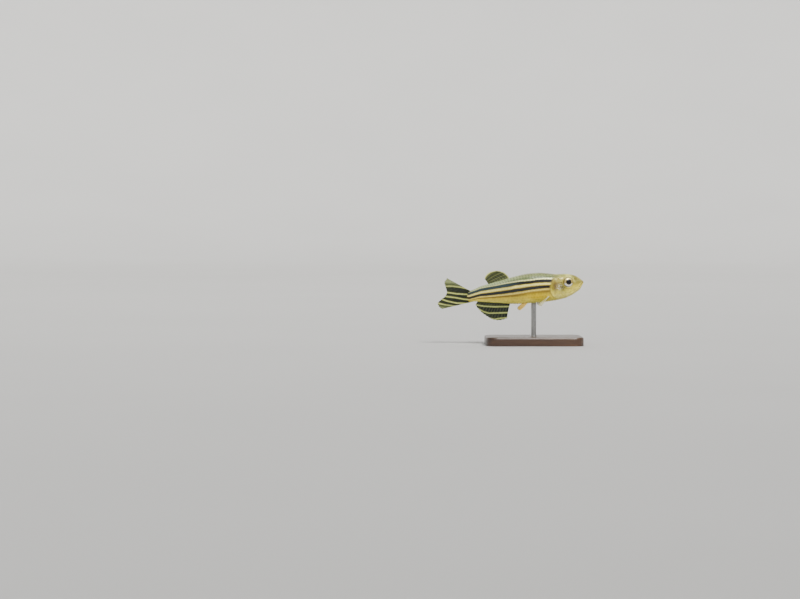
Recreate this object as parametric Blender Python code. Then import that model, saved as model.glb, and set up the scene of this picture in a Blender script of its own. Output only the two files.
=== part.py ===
"""A zebra danio (Danio rerio), life size, as a still museum model held over a flat base by one rod.

The snout points along +X, the back along +Z and the fish's right side along -Y. Lengths are in metres.
A place on the fish is (distance behind the snout tip, lateral offset, height over the fish's datum line),
and world_point() turns it into the model's frame, with its origin at the middle of the base's underside.
"""

import math

import bmesh
import bpy
from mathutils import Matrix, Vector

MM = 0.001

# Driving sizes of the fish
STANDARD_LENGTH = 33.0 * MM
EYE_DIAMETER = 2.95 * MM
FIN_THICKNESS = 0.50 * MM
RAY_THICKNESS = 0.74 * MM
GAP = 0.25 * MM

# Driving sizes of the stand
BASE_LENGTH = 28.0 * MM
BASE_WIDTH = 18.0 * MM
BASE_THICKNESS = 2.5 * MM
BASE_CORNER = 3.0 * MM
BASE_BEVEL = 0.4 * MM
ROD_DIAMETER = 1.5 * MM
SOCKET_DEPTH = 1.2 * MM

# Where the fish hangs over the base: the distance over the base's middle, where the rod is, and the datum's height
MIDDLE_DISTANCE = 14.4 * MM
DATUM_HEIGHT = 16.0 * MM

# Sections of the body: distance behind the snout, back, belly and half width, in millimetres
BODY_SECTIONS = (
    (0.0, 2.12, 2.04, 0.03),
    (0.4, 2.74, 1.20, 0.72),
    (1.0, 3.20, 0.29, 1.05),
    (1.9, 3.81, -0.58, 1.42),
    (3.0, 4.26, -1.42, 1.77),
    (4.4, 4.54, -2.12, 2.05),
    (5.9, 4.60, -2.68, 2.25),
    (8.2, 4.55, -3.18, 2.42),
    (9.9, 4.67, -3.44, 2.46),
    (12.5, 4.91, -3.80, 2.50),
    (15.4, 4.78, -3.99, 2.42),
    (18.2, 4.28, -4.17, 2.24),
    (20.7, 3.63, -4.19, 1.95),
    (24.0, 2.61, -3.97, 1.52),
    (26.8, 1.82, -3.80, 1.18),
    (29.6, 1.02, -3.63, 0.90),
    (31.4, 0.18, -3.56, 0.74),
    (33.0, -0.45, -3.80, 0.50),
)
SECTION_POWER = 0.86
NOSE_ROUNDING = 0.5 * MM
NOSE_RINGS = 4
BODY_RINGS = 48
BODY_SIDES = 32
CUTTER_DEPTH = 12 * MM

# The swimming bend seen from above: distance behind the snout and offset to the fish's left, in millimetres
SWIMMING_BEND = ((0.0, 0.35), (8.0, 0.0), (17.0, -0.35), (25.0, 0.05), (33.0, 1.25), (42.0, 3.1))

# Cuts that part the body, as side outlines: distance and height in millimetres
GILL_OPENING = ((7.9, 6.5), (8.2, 4.0), (9.35, 2.2), (9.75, 0.4), (9.2, -1.6), (7.3, -2.9), (5.9, -4.5))
VENT_DISTANCE = 20.0
JAW_LINE = ((-0.8, 3.1), (0.0, 2.2), (1.4, 0.75), (3.9, -0.9), (4.9, -3.6))
GILL_COVER_FRONT = ((7.45, 3.25), (7.0, 2.4), (6.78, 1.2), (6.72, 0.0), (6.85, -1.1), (7.25, -2.05))
GILL_COVER_DEPTH = 0.75 * MM
GILL_COVER_SPAN = (4.5 * MM, 12.0 * MM)
THROAT_HALF_WIDTH = 0.45 * MM

# The mouth: its corner and the lip's thickness, and the barbel that hangs from the corner
MOUTH_CORNER = 1.4 * MM
LIP_RADIUS = 0.23 * MM
LIP_RINGS = 14
LIP_SIDES = 8
LIP_SPREAD = 0.9
BARBEL = ((1.75, 1.42, 0.62, 0.24), (2.3, 1.98, -0.05, 0.2), (3.1, 2.35, -0.75, 0.16), (4.0, 2.5, -1.2, 0.1))

EYE_DISTANCE = 4.57 * MM
EYE_HEIGHT = 2.17 * MM
EYE_OFFSET = 1.58 * MM
EYE_DEPTH = 0.76 * MM
EYE_AIM = (0.22, 1.0, 0.12)
EYE_SEGMENTS = 24
ORBIT_RIM = 0.36 * MM
NOSTRIL_DISTANCE = 2.35 * MM
NOSTRIL_HEIGHT = 3.15 * MM
NOSTRIL_RADIUS = 0.26 * MM

# Each fin: roots and tips of its rays from the first to the last, as (distance, offset, height) in millimetres, the
# bow of its first ray, its count of rays and the rows along them. Roots lie in the body, and the body is cut away.
FINS = {
    "dorsal_fin": (
        ((21.2, 0.0, 2.7), (24.2, 0.0, 1.9), (27.2, 0.0, 1.1)),
        ((25.6, 0.1, 5.42), (27.2, 0.15, 5.0), (28.2, 0.15, 4.2), (28.6, 0.1, 3.2)),
        (-0.55, 0.0, 0.75), 9, 7,
    ),
    "anal_fin": (
        ((21.0, 0.0, -3.4), (25.6, 0.0, -3.2), (30.2, 0.0, -3.0)),
        ((22.1, -0.1, -8.4), (24.1, -0.2, -8.95), (26.2, -0.2, -8.7), (27.7, -0.2, -7.95), (29.3, -0.1, -6.8),
         (30.6, 0.0, -5.4), (31.2, 0.0, -4.35)),
        (0.15, 0.0, 0.0), 14, 7,
    ),
    "caudal_fin": (
        ((32.5, 0.0, -0.55), (32.3, 0.0, -2.1), (32.5, 0.0, -3.7)),
        ((39.5, 0.1, 3.3), (40.25, 0.05, 2.2), (40.0, 0.0, 1.0), (39.65, 0.0, -0.2), (39.6, 0.0, -1.1),
         (40.2, 0.0, -2.2), (41.3, 0.05, -3.1), (42.2, 0.1, -4.0), (41.9, 0.15, -5.1), (41.0, 0.2, -5.8)),
        (0.0, 0.0, 0.0), 19, 8,
    ),
    "pelvic_fin": (
        ((15.9, 0.75, -3.3), (16.3, 0.6, -3.3), (16.7, 0.45, -3.3)),
        ((18.5, 1.75, -6.0), (19.0, 1.55, -5.8), (19.1, 1.25, -5.4), (18.9, 0.95, -5.0)),
        (-0.15, 0.1, -0.15), 8, 5,
    ),
    "pectoral_fin": (
        ((9.9, 1.85, -1.75), (10.15, 1.55, -2.1), (10.4, 1.2, -2.4)),
        ((12.4, 4.9, -4.65), (13.0, 4.8, -4.6), (13.35, 4.4, -4.4), (13.3, 3.85, -4.15), (12.9, 3.2, -3.95)),
        (0.1, 0.25, 0.1), 10, 6,
    ),
}
RIDGE_SHARE = 0.17
MARGIN_NOTCH = 0.035
TIP_TAPER = 0.55
TAPER_START = 0.7

SHARP_ANGLE = 35

# Colours: linear base colour, roughness and metallic value
FINISHES = {
    "skin": ((0.46, 0.38, 0.16), 0.35, 0.25),
    "gill_cover": ((0.50, 0.36, 0.24), 0.30, 0.35),
    "fin": ((0.40, 0.40, 0.22), 0.40, 0.0),
    "eye": ((0.75, 0.72, 0.58), 0.15, 0.4),
    "base": ((0.10, 0.055, 0.03), 0.45, 0.0),
    "rod": ((0.55, 0.55, 0.56), 0.25, 1.0),
}


def clear_scene():
    for obj in list(bpy.data.objects):
        bpy.data.objects.remove(obj)


def curve_through(points):
    """A smooth function through (x, y) points in rising x, by cubic Hermite pieces."""
    xs = [p[0] for p in points]
    ys = [p[1] for p in points]
    last = len(points) - 1
    slopes = []
    for i in range(last + 1):
        low, high = max(i - 1, 0), min(i + 1, last)
        slopes.append((ys[high] - ys[low]) / (xs[high] - xs[low]))

    def value(x):
        i = 0
        while i < last - 1 and x > xs[i + 1]:
            i += 1
        span = xs[i + 1] - xs[i]
        t = min(max((x - xs[i]) / span, 0.0), 1.0)
        a = (1 + 2 * t) * (1 - t) ** 2
        b = t * (1 - t) ** 2
        c = t * t * (3 - 2 * t)
        d = t * t * (t - 1)
        return a * ys[i] + b * span * slopes[i] + c * ys[i + 1] + d * span * slopes[i + 1]

    return value


def path_through(points):
    """A smooth path through points of any dimension, evaluated from 0 at the first to 1 at the last."""
    last = len(points) - 1
    parts = [curve_through([(k / last, p[axis]) for k, p in enumerate(points)]) for axis in range(len(points[0]))]
    return lambda t: tuple(part(t) for part in parts)


# Sections are read against the root of the distance, which rounds the snout.
BACK = curve_through([(math.sqrt(row[0]), row[1] * MM) for row in BODY_SECTIONS])
BELLY = curve_through([(math.sqrt(row[0]), row[2] * MM) for row in BODY_SECTIONS])
HALF_WIDTH = curve_through([(math.sqrt(row[0]), row[3] * MM) for row in BODY_SECTIONS])
BEND = curve_through([(distance * MM, offset * MM) for distance, offset in SWIMMING_BEND])


def world_point(distance, offset, height):
    """Turns a place on the fish into a point of the model's frame."""
    return Vector((MIDDLE_DISTANCE - distance, BEND(distance) + offset, DATUM_HEIGHT + height))


def section(distance, grow=0.0):
    """(middle height, half height, half width) of the body there, grown outward."""
    root = math.sqrt(max(distance, 0.0) / MM)
    back, belly = BACK(root) + grow, BELLY(root) - grow
    return (back + belly) / 2, (back - belly) / 2, HALF_WIDTH(root) + grow


def signed_power(value):
    return math.copysign(abs(value) ** SECTION_POWER, value)


def skin_offset(distance, height):
    """The lateral offset of the skin at a height over the datum."""
    middle, half_height, half_width = section(distance)
    level = min(max((height - middle) / half_height, -1.0), 1.0)
    angle = math.acos(math.copysign(abs(level) ** (1 / SECTION_POWER), level))
    return half_width * math.sin(angle) ** SECTION_POWER


def new_object(name, bm, collection, finish=None):
    """Makes an object of a bmesh, with its faces turned outward."""
    bmesh.ops.recalc_face_normals(bm, faces=bm.faces)
    mesh = bpy.data.meshes.new(name)
    bm.to_mesh(mesh)
    bm.free()
    obj = bpy.data.objects.new(name, mesh)
    collection.objects.link(obj)
    if finish:
        obj.data.materials.append(material(finish))
    return obj


def material(finish):
    """The named finish as a Principled material, made once."""
    if finish in bpy.data.materials:
        return bpy.data.materials[finish]
    colour, roughness, metallic = FINISHES[finish]
    made = bpy.data.materials.new(finish)
    made.use_nodes = True
    shader = made.node_tree.nodes["Principled BSDF"]
    shader.inputs["Base Color"].default_value = (*colour, 1.0)
    shader.inputs["Roughness"].default_value = roughness
    shader.inputs["Metallic"].default_value = metallic
    return made


def loft(rings):
    """A closed bmesh through rings of equal length, with a flat cap at each end."""
    bm = bmesh.new()
    made = [[bm.verts.new(point) for point in ring] for ring in rings]
    sides = len(rings[0])
    for first, second in zip(made, made[1:]):
        for k in range(sides):
            bm.faces.new((first[k], first[(k + 1) % sides], second[(k + 1) % sides], second[k]))
    bm.faces.new(made[0])
    bm.faces.new(reversed(made[-1]))
    return bm


def section_ring(distance, grow=0.0, shift=0.0):
    """A ring of the body there, grown outward and shifted backward."""
    middle, half_height, half_width = section(distance, grow)
    ring = []
    for k in range(BODY_SIDES):
        angle = 2 * math.pi * k / BODY_SIDES
        offset = half_width * signed_power(math.sin(angle))
        height = middle + half_height * signed_power(math.cos(angle))
        ring.append(world_point(distance + shift, offset, height))
    return ring


def body_rings(grow=0.0):
    """Rings of the whole body, evenly spaced behind a rounded snout."""
    distances = [NOSE_ROUNDING * (k / NOSE_RINGS) ** 2 for k in range(1, NOSE_RINGS + 1)]
    step = (STANDARD_LENGTH - NOSE_ROUNDING) / BODY_RINGS
    distances += [NOSE_ROUNDING + step * k for k in range(1, BODY_RINGS + 1)]
    inner = [section_ring(distance, grow) for distance in distances[1:-1]]
    return [section_ring(distances[0], grow, -grow), *inner, section_ring(distances[-1], grow, grow)]


def prism(name, outline, collection, side=0, clear=0.0):
    """A side outline of (distance, height) in millimetres, extruded across the fish or, clear of its middle, to a side."""
    near = side * clear if side else -CUTTER_DEPTH
    far = (side or 1) * CUTTER_DEPTH
    bm = bmesh.new()
    corners = [world_point(d * MM, 0.0, z * MM) for d, z in outline]
    face = bm.faces.new([bm.verts.new((p.x, near, p.z)) for p in corners])
    moved = bmesh.ops.extrude_face_region(bm, geom=[face])["geom"]
    top = [v for v in moved if isinstance(v, bmesh.types.BMVert)]
    bmesh.ops.translate(bm, verts=top, vec=(0.0, far - near, 0.0))
    return new_object(name, bm, collection)


def smooth_outline(points, steps=4):
    """The same outline with points added along a smooth path, and the first and last kept."""
    path = path_through(points)
    count = steps * (len(points) - 1)
    return [path(k / count) for k in range(count + 1)]


def shifted(outline, along):
    """An open outline moved to its left by a distance in millimetres."""
    moved = []
    for k, (x, z) in enumerate(outline):
        before, after = outline[max(k - 1, 0)], outline[min(k + 1, len(outline) - 1)]
        dx, dz = after[0] - before[0], after[1] - before[1]
        length = math.hypot(dx, dz)
        moved.append((x - dz / length * along, z + dx / length * along))
    return moved


def combine(obj, operation, *others, solver="EXACT"):
    """Cuts each other object from obj, or keeps what obj has in common with it."""
    for other in others:
        modifier = obj.modifiers.new(operation, "BOOLEAN")
        modifier.operation = operation
        modifier.object = other
        modifier.solver = solver
        apply_modifiers(obj)
    return obj


def apply_modifiers(obj):
    graph = bpy.context.evaluated_depsgraph_get()
    mesh = bpy.data.meshes.new_from_object(obj.evaluated_get(graph))
    obj.modifiers.clear()
    obj.data = mesh


def join(obj, pieces):
    """Makes one closed surface of obj and the pieces, with one union on a collection of them all."""
    together = bpy.data.collections.new("together")
    bpy.context.scene.collection.children.link(together)
    for piece in pieces:
        for holder in list(piece.users_collection):
            holder.objects.unlink(piece)
        together.objects.link(piece)
    modifier = obj.modifiers.new("join", "BOOLEAN")
    modifier.operation = "UNION"
    modifier.operand_type = "COLLECTION"
    modifier.collection = together
    modifier.solver = "MANIFOLD"
    apply_modifiers(obj)
    for piece in pieces:
        bpy.data.objects.remove(piece)
    bpy.data.collections.remove(together)
    return keep_largest(obj)


def move_to(obj, collection):
    for holder in list(obj.users_collection):
        holder.objects.unlink(obj)
    collection.objects.link(obj)


def copy_of(obj, name, collection, finish=None):
    made = bpy.data.objects.new(name, obj.data.copy())
    collection.objects.link(made)
    if finish:
        made.data.materials.clear()
        made.data.materials.append(material(finish))
    return made


def keep_largest(obj):
    """Removes all but the largest closed surface of a mesh."""
    bm = bmesh.new()
    bm.from_mesh(obj.data)
    bmesh.ops.remove_doubles(bm, verts=bm.verts, dist=0.0005 * MM)
    left, shells = set(bm.verts), []
    while left:
        shell, front = set(), [left.pop()]
        while front:
            vertex = front.pop()
            shell.add(vertex)
            near = {edge.other_vert(vertex) for edge in vertex.link_edges} & left
            left -= near
            front.extend(near)
        shells.append(shell)

    largest = max(shells, key=volume_of)
    bmesh.ops.delete(bm, geom=[v for v in bm.verts if v not in largest], context="VERTS")
    bm.to_mesh(obj.data)
    bm.free()
    return obj


def volume_of(shell):
    """The volume that a connected closed set of vertices bounds."""
    faces = {face for vertex in shell for face in vertex.link_faces}
    centre = next(iter(shell)).co
    return abs(sum(f.normal.dot(f.calc_center_median() - centre) * f.calc_area() for f in faces)) / 3


def settle(obj, holder):
    """Shades a part smooth, puts its origin at its own middle and hangs it from the holder."""
    obj.data.shade_smooth()
    obj.data.set_sharp_from_angle(angle=math.radians(SHARP_ANGLE))
    middle = sum((Vector(corner) for corner in obj.bound_box), Vector()) / 8
    obj.data.transform(Matrix.Translation(-middle))
    obj.location = obj.matrix_world @ middle
    obj.parent = holder


def part_body(parts, cutters):
    """The head, jaw, gill covers, trunk and tail, cut from one body."""
    whole = new_object("whole_body", loft(body_rings()), cutters, "skin")
    gill = smooth_outline(GILL_OPENING)
    half = GAP / MM / 2
    front_region = prism("front_region", [(-4, 6.5), *shifted(gill, -half), (-4, -4.5)], cutters)
    rear_region = prism("rear_region", [(40, 6.5), *shifted(gill, half), (40, -4.5)], cutters)
    vent = VENT_DISTANCE
    before_vent = prism("before_vent", [(-4, 9), (vent - half, 9), (vent - half, -9), (-4, -9)], cutters)
    after_vent = prism("after_vent", [(40, 9), (vent + half, 9), (vent + half, -9), (40, -9)], cutters)

    head = combine(copy_of(whole, "head", parts, "skin"), "INTERSECT", front_region)
    trunk = combine(copy_of(whole, "trunk", parts, "skin"), "INTERSECT", rear_region, before_vent)
    tail = combine(copy_of(whole, "tail", parts, "skin"), "INTERSECT", after_vent)

    jaw_region = prism("jaw_region", [*shifted(JAW_LINE, -half), (2.0, -6), (-4, -6), (-4, 3.1)], cutters)
    head_region = prism("head_region", [*shifted(JAW_LINE, half), (14, -3.6), (14, 8), (-4, 8)], cutters)
    jaw = combine(copy_of(head, "lower_jaw", parts, "skin"), "INTERSECT", jaw_region)
    combine(head, "INTERSECT", head_region)
    return head, jaw, trunk, tail


def gill_covers(head, parts, cutters):
    """A plate on each side of the head, in a pocket that leaves the gap all round it."""
    front = smooth_outline(GILL_COVER_FRONT)
    rear = [(14, front[-1][1]), (14, front[0][1])]
    gap = GAP / MM
    first, last = GILL_COVER_SPAN
    steps = 10
    spans = [first + (last - first) * k / steps for k in range(steps + 1)]
    for side, name in ((-1, "right"), (1, "left")):
        inner = new_object(
            f"inner_{name}", loft([section_ring(d, -GILL_COVER_DEPTH) for d in spans]), cutters)
        deeper = new_object(
            f"deeper_{name}", loft([section_ring(d, -GILL_COVER_DEPTH - GAP) for d in spans]), cutters)
        plate = prism(f"plate_{name}", [*front, *rear], cutters, side, THROAT_HALF_WIDTH + GAP)
        outline = [*shifted(front, -gap), (14, front[-1][1] - gap), (14, front[0][1] + gap)]
        pocket = prism(f"pocket_{name}", outline, cutters, side, THROAT_HALF_WIDTH)
        combine(plate, "DIFFERENCE", inner, solver="MANIFOLD")
        combine(pocket, "DIFFERENCE", deeper, solver="MANIFOLD")
        cover = copy_of(head, f"gill_cover_{name}", parts, "gill_cover")
        combine(cover, "INTERSECT", plate, solver="MANIFOLD")
        keep_largest(cover)
        combine(head, "DIFFERENCE", pocket, solver="MANIFOLD")
    keep_largest(head)


def ellipsoid(name, centre, radii, collection, finish=None, segments=EYE_SEGMENTS, aim=None):
    """A sphere scaled by the radii, whose last one lies along the aim."""
    bm = bmesh.new()
    bmesh.ops.create_uvsphere(bm, u_segments=segments, v_segments=segments // 2, radius=1.0)
    bmesh.ops.scale(bm, verts=bm.verts, vec=radii)
    if aim:
        turn = Vector(aim).to_track_quat("Z", "X").to_matrix()
        bmesh.ops.rotate(bm, verts=bm.verts, cent=(0, 0, 0), matrix=turn)
    bmesh.ops.translate(bm, verts=bm.verts, vec=centre)
    return new_object(name, bm, collection, finish)


def tube(name, places, radii, sides, collection, finish=None):
    """A closed tube through places, with a radius at each."""
    rings = []
    for k, place in enumerate(places):
        before, after = places[max(k - 1, 0)], places[min(k + 1, len(places) - 1)]
        along = (after - before).normalized()
        level = along.cross(Vector((0.0, 0.0, 1.0))).normalized()
        upright = level.cross(along)
        angles = [2 * math.pi * n / sides for n in range(sides)]
        rings.append([place + (level * math.cos(a) + upright * math.sin(a)) * radii[k] for a in angles])
    return new_object(name, loft(rings), collection, finish)


def lip(name, rise, collection):
    """A lip that runs from one corner of the mouth round the snout to the other, raised over the mouth's line."""
    line = curve_through(JAW_LINE)
    places = []
    for k in range(LIP_RINGS + 1):
        across = 2 * k / LIP_RINGS - 1
        distance = 0.04 * MM + MOUTH_CORNER * across * across
        height = line(distance / MM) * MM + rise
        offset = math.copysign(section(distance)[2] * LIP_SPREAD, across) if across else 0.0
        places.append(world_point(distance + LIP_RADIUS / 2, offset, height))
    radii = [LIP_RADIUS * (1 - 0.45 * abs(2 * k / LIP_RINGS - 1) ** 3) for k in range(LIP_RINGS + 1)]
    return tube(name, places, radii, LIP_SIDES, collection)


def lips(head, jaw, cutters):
    rise = LIP_RADIUS + GAP / 2
    join(head, [lip("upper_lip", rise, cutters)])
    join(jaw, [lip("lower_lip", -rise, cutters)])


def eyes_and_nostrils(head, parts, cutters):
    """Both eyes in raised orbits, and a nostril ahead of each."""
    radius = EYE_DIAMETER / 2
    rims, holes = [], []
    for side, name in ((-1, "right"), (1, "left")):
        aim = (EYE_AIM[0], side * EYE_AIM[1], EYE_AIM[2])
        centre = world_point(EYE_DISTANCE, side * EYE_OFFSET, EYE_HEIGHT)
        ellipsoid(f"eye_{name}", centre, (radius, radius, EYE_DEPTH), parts, "eye", aim=aim)
        hole = (radius + GAP, radius + GAP, EYE_DEPTH + GAP)
        holes.append(ellipsoid(f"socket_{name}", centre, hole, cutters, aim=aim))
        rim = (radius + ORBIT_RIM, radius + ORBIT_RIM, EYE_DEPTH * 0.85)
        rims.append(ellipsoid(f"rim_{name}", centre, rim, cutters, aim=aim))
        offset = side * skin_offset(NOSTRIL_DISTANCE, NOSTRIL_HEIGHT)
        place = world_point(NOSTRIL_DISTANCE, offset, NOSTRIL_HEIGHT)
        holes.append(ellipsoid(f"pit_{name}", place, (NOSTRIL_RADIUS,) * 3, cutters, segments=12))
    join(head, rims)
    combine(head, "DIFFERENCE", *holes, solver="MANIFOLD")


def barbels(parts):
    for side, name in ((-1, "right"), (1, "left")):
        path = path_through(BARBEL)
        stops = [path(k / 7) for k in range(8)]
        places = [world_point(d * MM, side * offset * MM, height * MM) for d, offset, height, _ in stops]
        tube(f"barbel_{name}", places, [stop[3] * MM for stop in stops], 7, parts, "skin")


def fin(name, shape, side, parts):
    """A membrane with a ridge over each ray, closed all round, with triangles alike on both faces."""
    roots, tips, bow, rays, rows = shape
    root_path, tip_path = path_through(roots), path_through(tips)
    half_ridge = RIDGE_SHARE / (rays - 1)
    columns = []
    for k in range(rays):
        middle = k / (rays - 1)
        columns += [(max(middle - half_ridge, 0.0), False), (middle, True), (min(middle + half_ridge, 1.0), False)]
    columns = [c for c in columns if c[1] or 0.0 < c[0] < 1.0]

    def place(u, t):
        root, tip = Vector(root_path(u)), Vector(tip_path(u))
        point = root.lerp(tip, t) + Vector(bow) * (1 - u) ** 2 * 4 * t * (1 - t)
        return world_point(point[0] * MM, side * point[1] * MM, point[2] * MM)

    step = 0.01
    bm = bmesh.new()
    sheets = ([], [])
    for u, on_ray in columns:
        reach = 1.0 if on_ray else 1.0 - MARGIN_NOTCH
        lines = ([], [])
        for row in range(rows + 1):
            t = reach * row / rows
            here = place(u, t)
            along = place(u, t + step) - place(u, t - step)
            across = place(min(u + step, 1.0), t) - place(max(u - step, 0.0), t)
            normal = along.cross(across).normalized()
            taper = 1.0 - (1.0 - TIP_TAPER) * max(0.0, (t - TAPER_START) / (1.0 - TAPER_START))
            half = (RAY_THICKNESS if on_ray else FIN_THICKNESS) / 2 * taper
            for sign, line in zip((1, -1), lines):
                line.append(bm.verts.new(here + normal * half * sign))
        for sheet, line in zip(sheets, lines):
            sheet.append(line)
    for sheet in sheets:
        for first, second in zip(sheet, sheet[1:]):
            for row in range(rows):
                bm.faces.new((first[row], second[row], second[row + 1]))
                bm.faces.new((first[row], second[row + 1], first[row + 1]))
    front, back = sheets
    loop = [(0, row) for row in range(rows)]
    loop += [(column, rows) for column in range(len(columns) - 1)]
    loop += [(len(columns) - 1, row) for row in range(rows, 0, -1)]
    loop += [(column, 0) for column in range(len(columns) - 1, 0, -1)]
    for (c, r), (d, s) in zip(loop, loop[1:] + loop[:1]):
        bm.faces.new((front[c][r], front[d][s], back[d][s]))
        bm.faces.new((front[c][r], back[d][s], back[c][r]))
    return new_object(name, bm, parts, "fin")


def fins(grown, parts):
    """Every fin, with the grown body cut from its root so that the gap follows the skin."""
    for name, shape in FINS.items():
        sides = ((-1, "_right"), (1, "_left")) if name.startswith("pe") else ((1, ""),)
        for side, ending in sides:
            made = fin(name + ending, shape, side, parts)
            combine(made, "DIFFERENCE", grown, solver="MANIFOLD")
            keep_largest(made)


def stand(grown, parts, cutters):
    """A flat base with a blind hole, and the rod that stands in it and reaches the belly."""
    bm = bmesh.new()
    bmesh.ops.create_cube(bm, size=1.0)
    bmesh.ops.scale(bm, verts=bm.verts, vec=(BASE_LENGTH, BASE_WIDTH, BASE_THICKNESS))
    bmesh.ops.translate(bm, verts=bm.verts, vec=(0.0, 0.0, BASE_THICKNESS / 2))
    upright = [e for e in bm.edges if abs(e.verts[0].co.z - e.verts[1].co.z) > BASE_THICKNESS / 2]
    bmesh.ops.bevel(bm, geom=upright, offset=BASE_CORNER, segments=6, affect="EDGES", profile=0.5)
    top = [e for e in bm.edges if min(v.co.z for v in e.verts) > BASE_THICKNESS / 2]
    bmesh.ops.bevel(bm, geom=top, offset=BASE_BEVEL, segments=2, affect="EDGES", profile=0.5)
    base = new_object("stand_base", bm, parts, "base")

    hole_floor = BASE_THICKNESS - SOCKET_DEPTH
    hole = cylinder("hole", ROD_DIAMETER / 2 + GAP, hole_floor, BASE_THICKNESS + 5 * MM, cutters)
    combine(base, "DIFFERENCE", hole)
    rod = cylinder("stand_rod", ROD_DIAMETER / 2, hole_floor + GAP, DATUM_HEIGHT, parts, "rod")
    combine(rod, "DIFFERENCE", grown)
    keep_largest(rod)


def cylinder(name, radius, low, high, collection, finish=None):
    bpy.ops.mesh.primitive_cylinder_add(vertices=32, radius=radius, depth=high - low, location=(0, 0, (low + high) / 2))
    made = bpy.context.object
    made.name = name
    move_to(made, collection)
    if finish:
        made.data.materials.append(material(finish))
    return made


def main():
    clear_scene()
    parts = bpy.data.collections.new("zebra_danio")
    cutters = bpy.data.collections.new("cutters")
    for collection in (parts, cutters):
        bpy.context.scene.collection.children.link(collection)
    head, jaw, trunk, tail = part_body(parts, cutters)
    lips(head, jaw, cutters)
    eyes_and_nostrils(head, parts, cutters)
    gill_covers(head, parts, cutters)
    barbels(parts)
    grown = new_object("grown_body", loft(body_rings(GAP)), cutters)
    fins(grown, parts)
    stand(grown, parts, cutters)
    for cutter in cutters.objects:
        cutter.hide_render = True
        cutter.display_type = "WIRE"
    model = bpy.data.objects.new("model", None)
    for obj in list(parts.objects):
        settle(obj, model)
    parts.objects.link(model)


main()
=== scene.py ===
import math

import bpy
import numpy as np
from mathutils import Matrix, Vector

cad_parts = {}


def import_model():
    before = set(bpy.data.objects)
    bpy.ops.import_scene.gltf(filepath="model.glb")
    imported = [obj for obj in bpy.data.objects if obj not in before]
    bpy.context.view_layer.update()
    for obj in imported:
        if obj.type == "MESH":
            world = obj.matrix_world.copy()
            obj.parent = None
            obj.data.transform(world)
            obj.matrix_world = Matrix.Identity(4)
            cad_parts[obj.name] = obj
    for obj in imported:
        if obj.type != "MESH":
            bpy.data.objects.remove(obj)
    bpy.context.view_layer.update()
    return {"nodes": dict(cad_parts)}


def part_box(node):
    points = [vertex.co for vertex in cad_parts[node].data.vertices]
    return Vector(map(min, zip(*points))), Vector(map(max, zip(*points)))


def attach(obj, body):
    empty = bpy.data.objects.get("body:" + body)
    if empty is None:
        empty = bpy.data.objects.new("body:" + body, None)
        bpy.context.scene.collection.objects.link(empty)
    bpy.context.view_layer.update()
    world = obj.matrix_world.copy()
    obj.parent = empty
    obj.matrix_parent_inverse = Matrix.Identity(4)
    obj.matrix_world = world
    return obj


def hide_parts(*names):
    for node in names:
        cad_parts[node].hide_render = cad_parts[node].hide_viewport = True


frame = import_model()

MM = 0.001
SIDES = ((-1, "right"), (1, "left"))
rng = np.random.default_rng(7)

# The fish's own measures in millimetres: distances run back from the snout tip, heights from the datum line.
MIDDLE_DISTANCE = 14.4
DATUM_HEIGHT = 16.0
BODY_END = 33.0
ROOT_END = 34.0
# Sections of the body: distance, back, belly and half width.
BODY_SECTIONS = np.array((
    (0.0, 2.12, 2.04, 0.03), (0.4, 2.74, 1.2, 0.72), (1.0, 3.2, 0.29, 1.05), (1.9, 3.81, -0.58, 1.42),
    (3.0, 4.26, -1.42, 1.77), (4.4, 4.54, -2.12, 2.05), (5.9, 4.6, -2.68, 2.25), (8.2, 4.55, -3.18, 2.42),
    (9.9, 4.67, -3.44, 2.46), (12.5, 4.91, -3.8, 2.5), (15.4, 4.78, -3.99, 2.42), (18.2, 4.28, -4.17, 2.24),
    (20.7, 3.63, -4.19, 1.95), (24.0, 2.61, -3.97, 1.52), (26.8, 1.82, -3.8, 1.18),
    (29.6, 1.02, -3.63, 0.9), (31.4, 0.18, -3.56, 0.74), (33.0, -0.45, -3.8, 0.5),
))
SECTION_POWER = 0.86
SWIMMING_BEND = ((0.0, 0.35), (8.0, 0.0), (17.0, -0.35), (25.0, 0.05), (33.0, 1.25), (42.0, 3.1))
SKIN_DEPTH = 0.06

# Lines on the head, seen from the side. The gill opening is the gill cover's free edge.
GILL_OPENING = ((7.9, 6.5), (8.2, 4.0), (9.35, 2.2), (9.75, 0.4), (9.2, -1.6), (7.3, -2.9), (5.9, -4.5))
CHEEK_LINE = (
    (7.45, 3.25), (7.0, 2.4), (6.78, 1.2), (6.72, 0.0), (6.6, -1.1), (6.0, -1.9), (4.6, -2.05), (3.6, -1.6))
MOUTH_LINE = ((-0.5, 2.5), (0.0, 2.32), (0.28, 2.08), (0.75, 1.55), (1.45, 0.72))
JAW_FOLD = ((1.4, 0.75), (2.4, -0.1), (3.9, -0.9), (4.6, -2.2))
SUTURES = (
    ((6.75, -1.75), (7.7, -1.6), (8.7, -1.2), (9.45, -0.6)),
    ((5.95, 0.75), (6.35, 1.75), (6.9, 2.65), (7.5, 3.1)),
    ((3.05, 1.25), (2.75, 0.45), (3.1, -0.35), (4.2, -0.9), (5.5, -0.75), (6.1, -0.1)),
)
MEMBRANE_FOLDS = (0.42, 0.8, 1.15)
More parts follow.
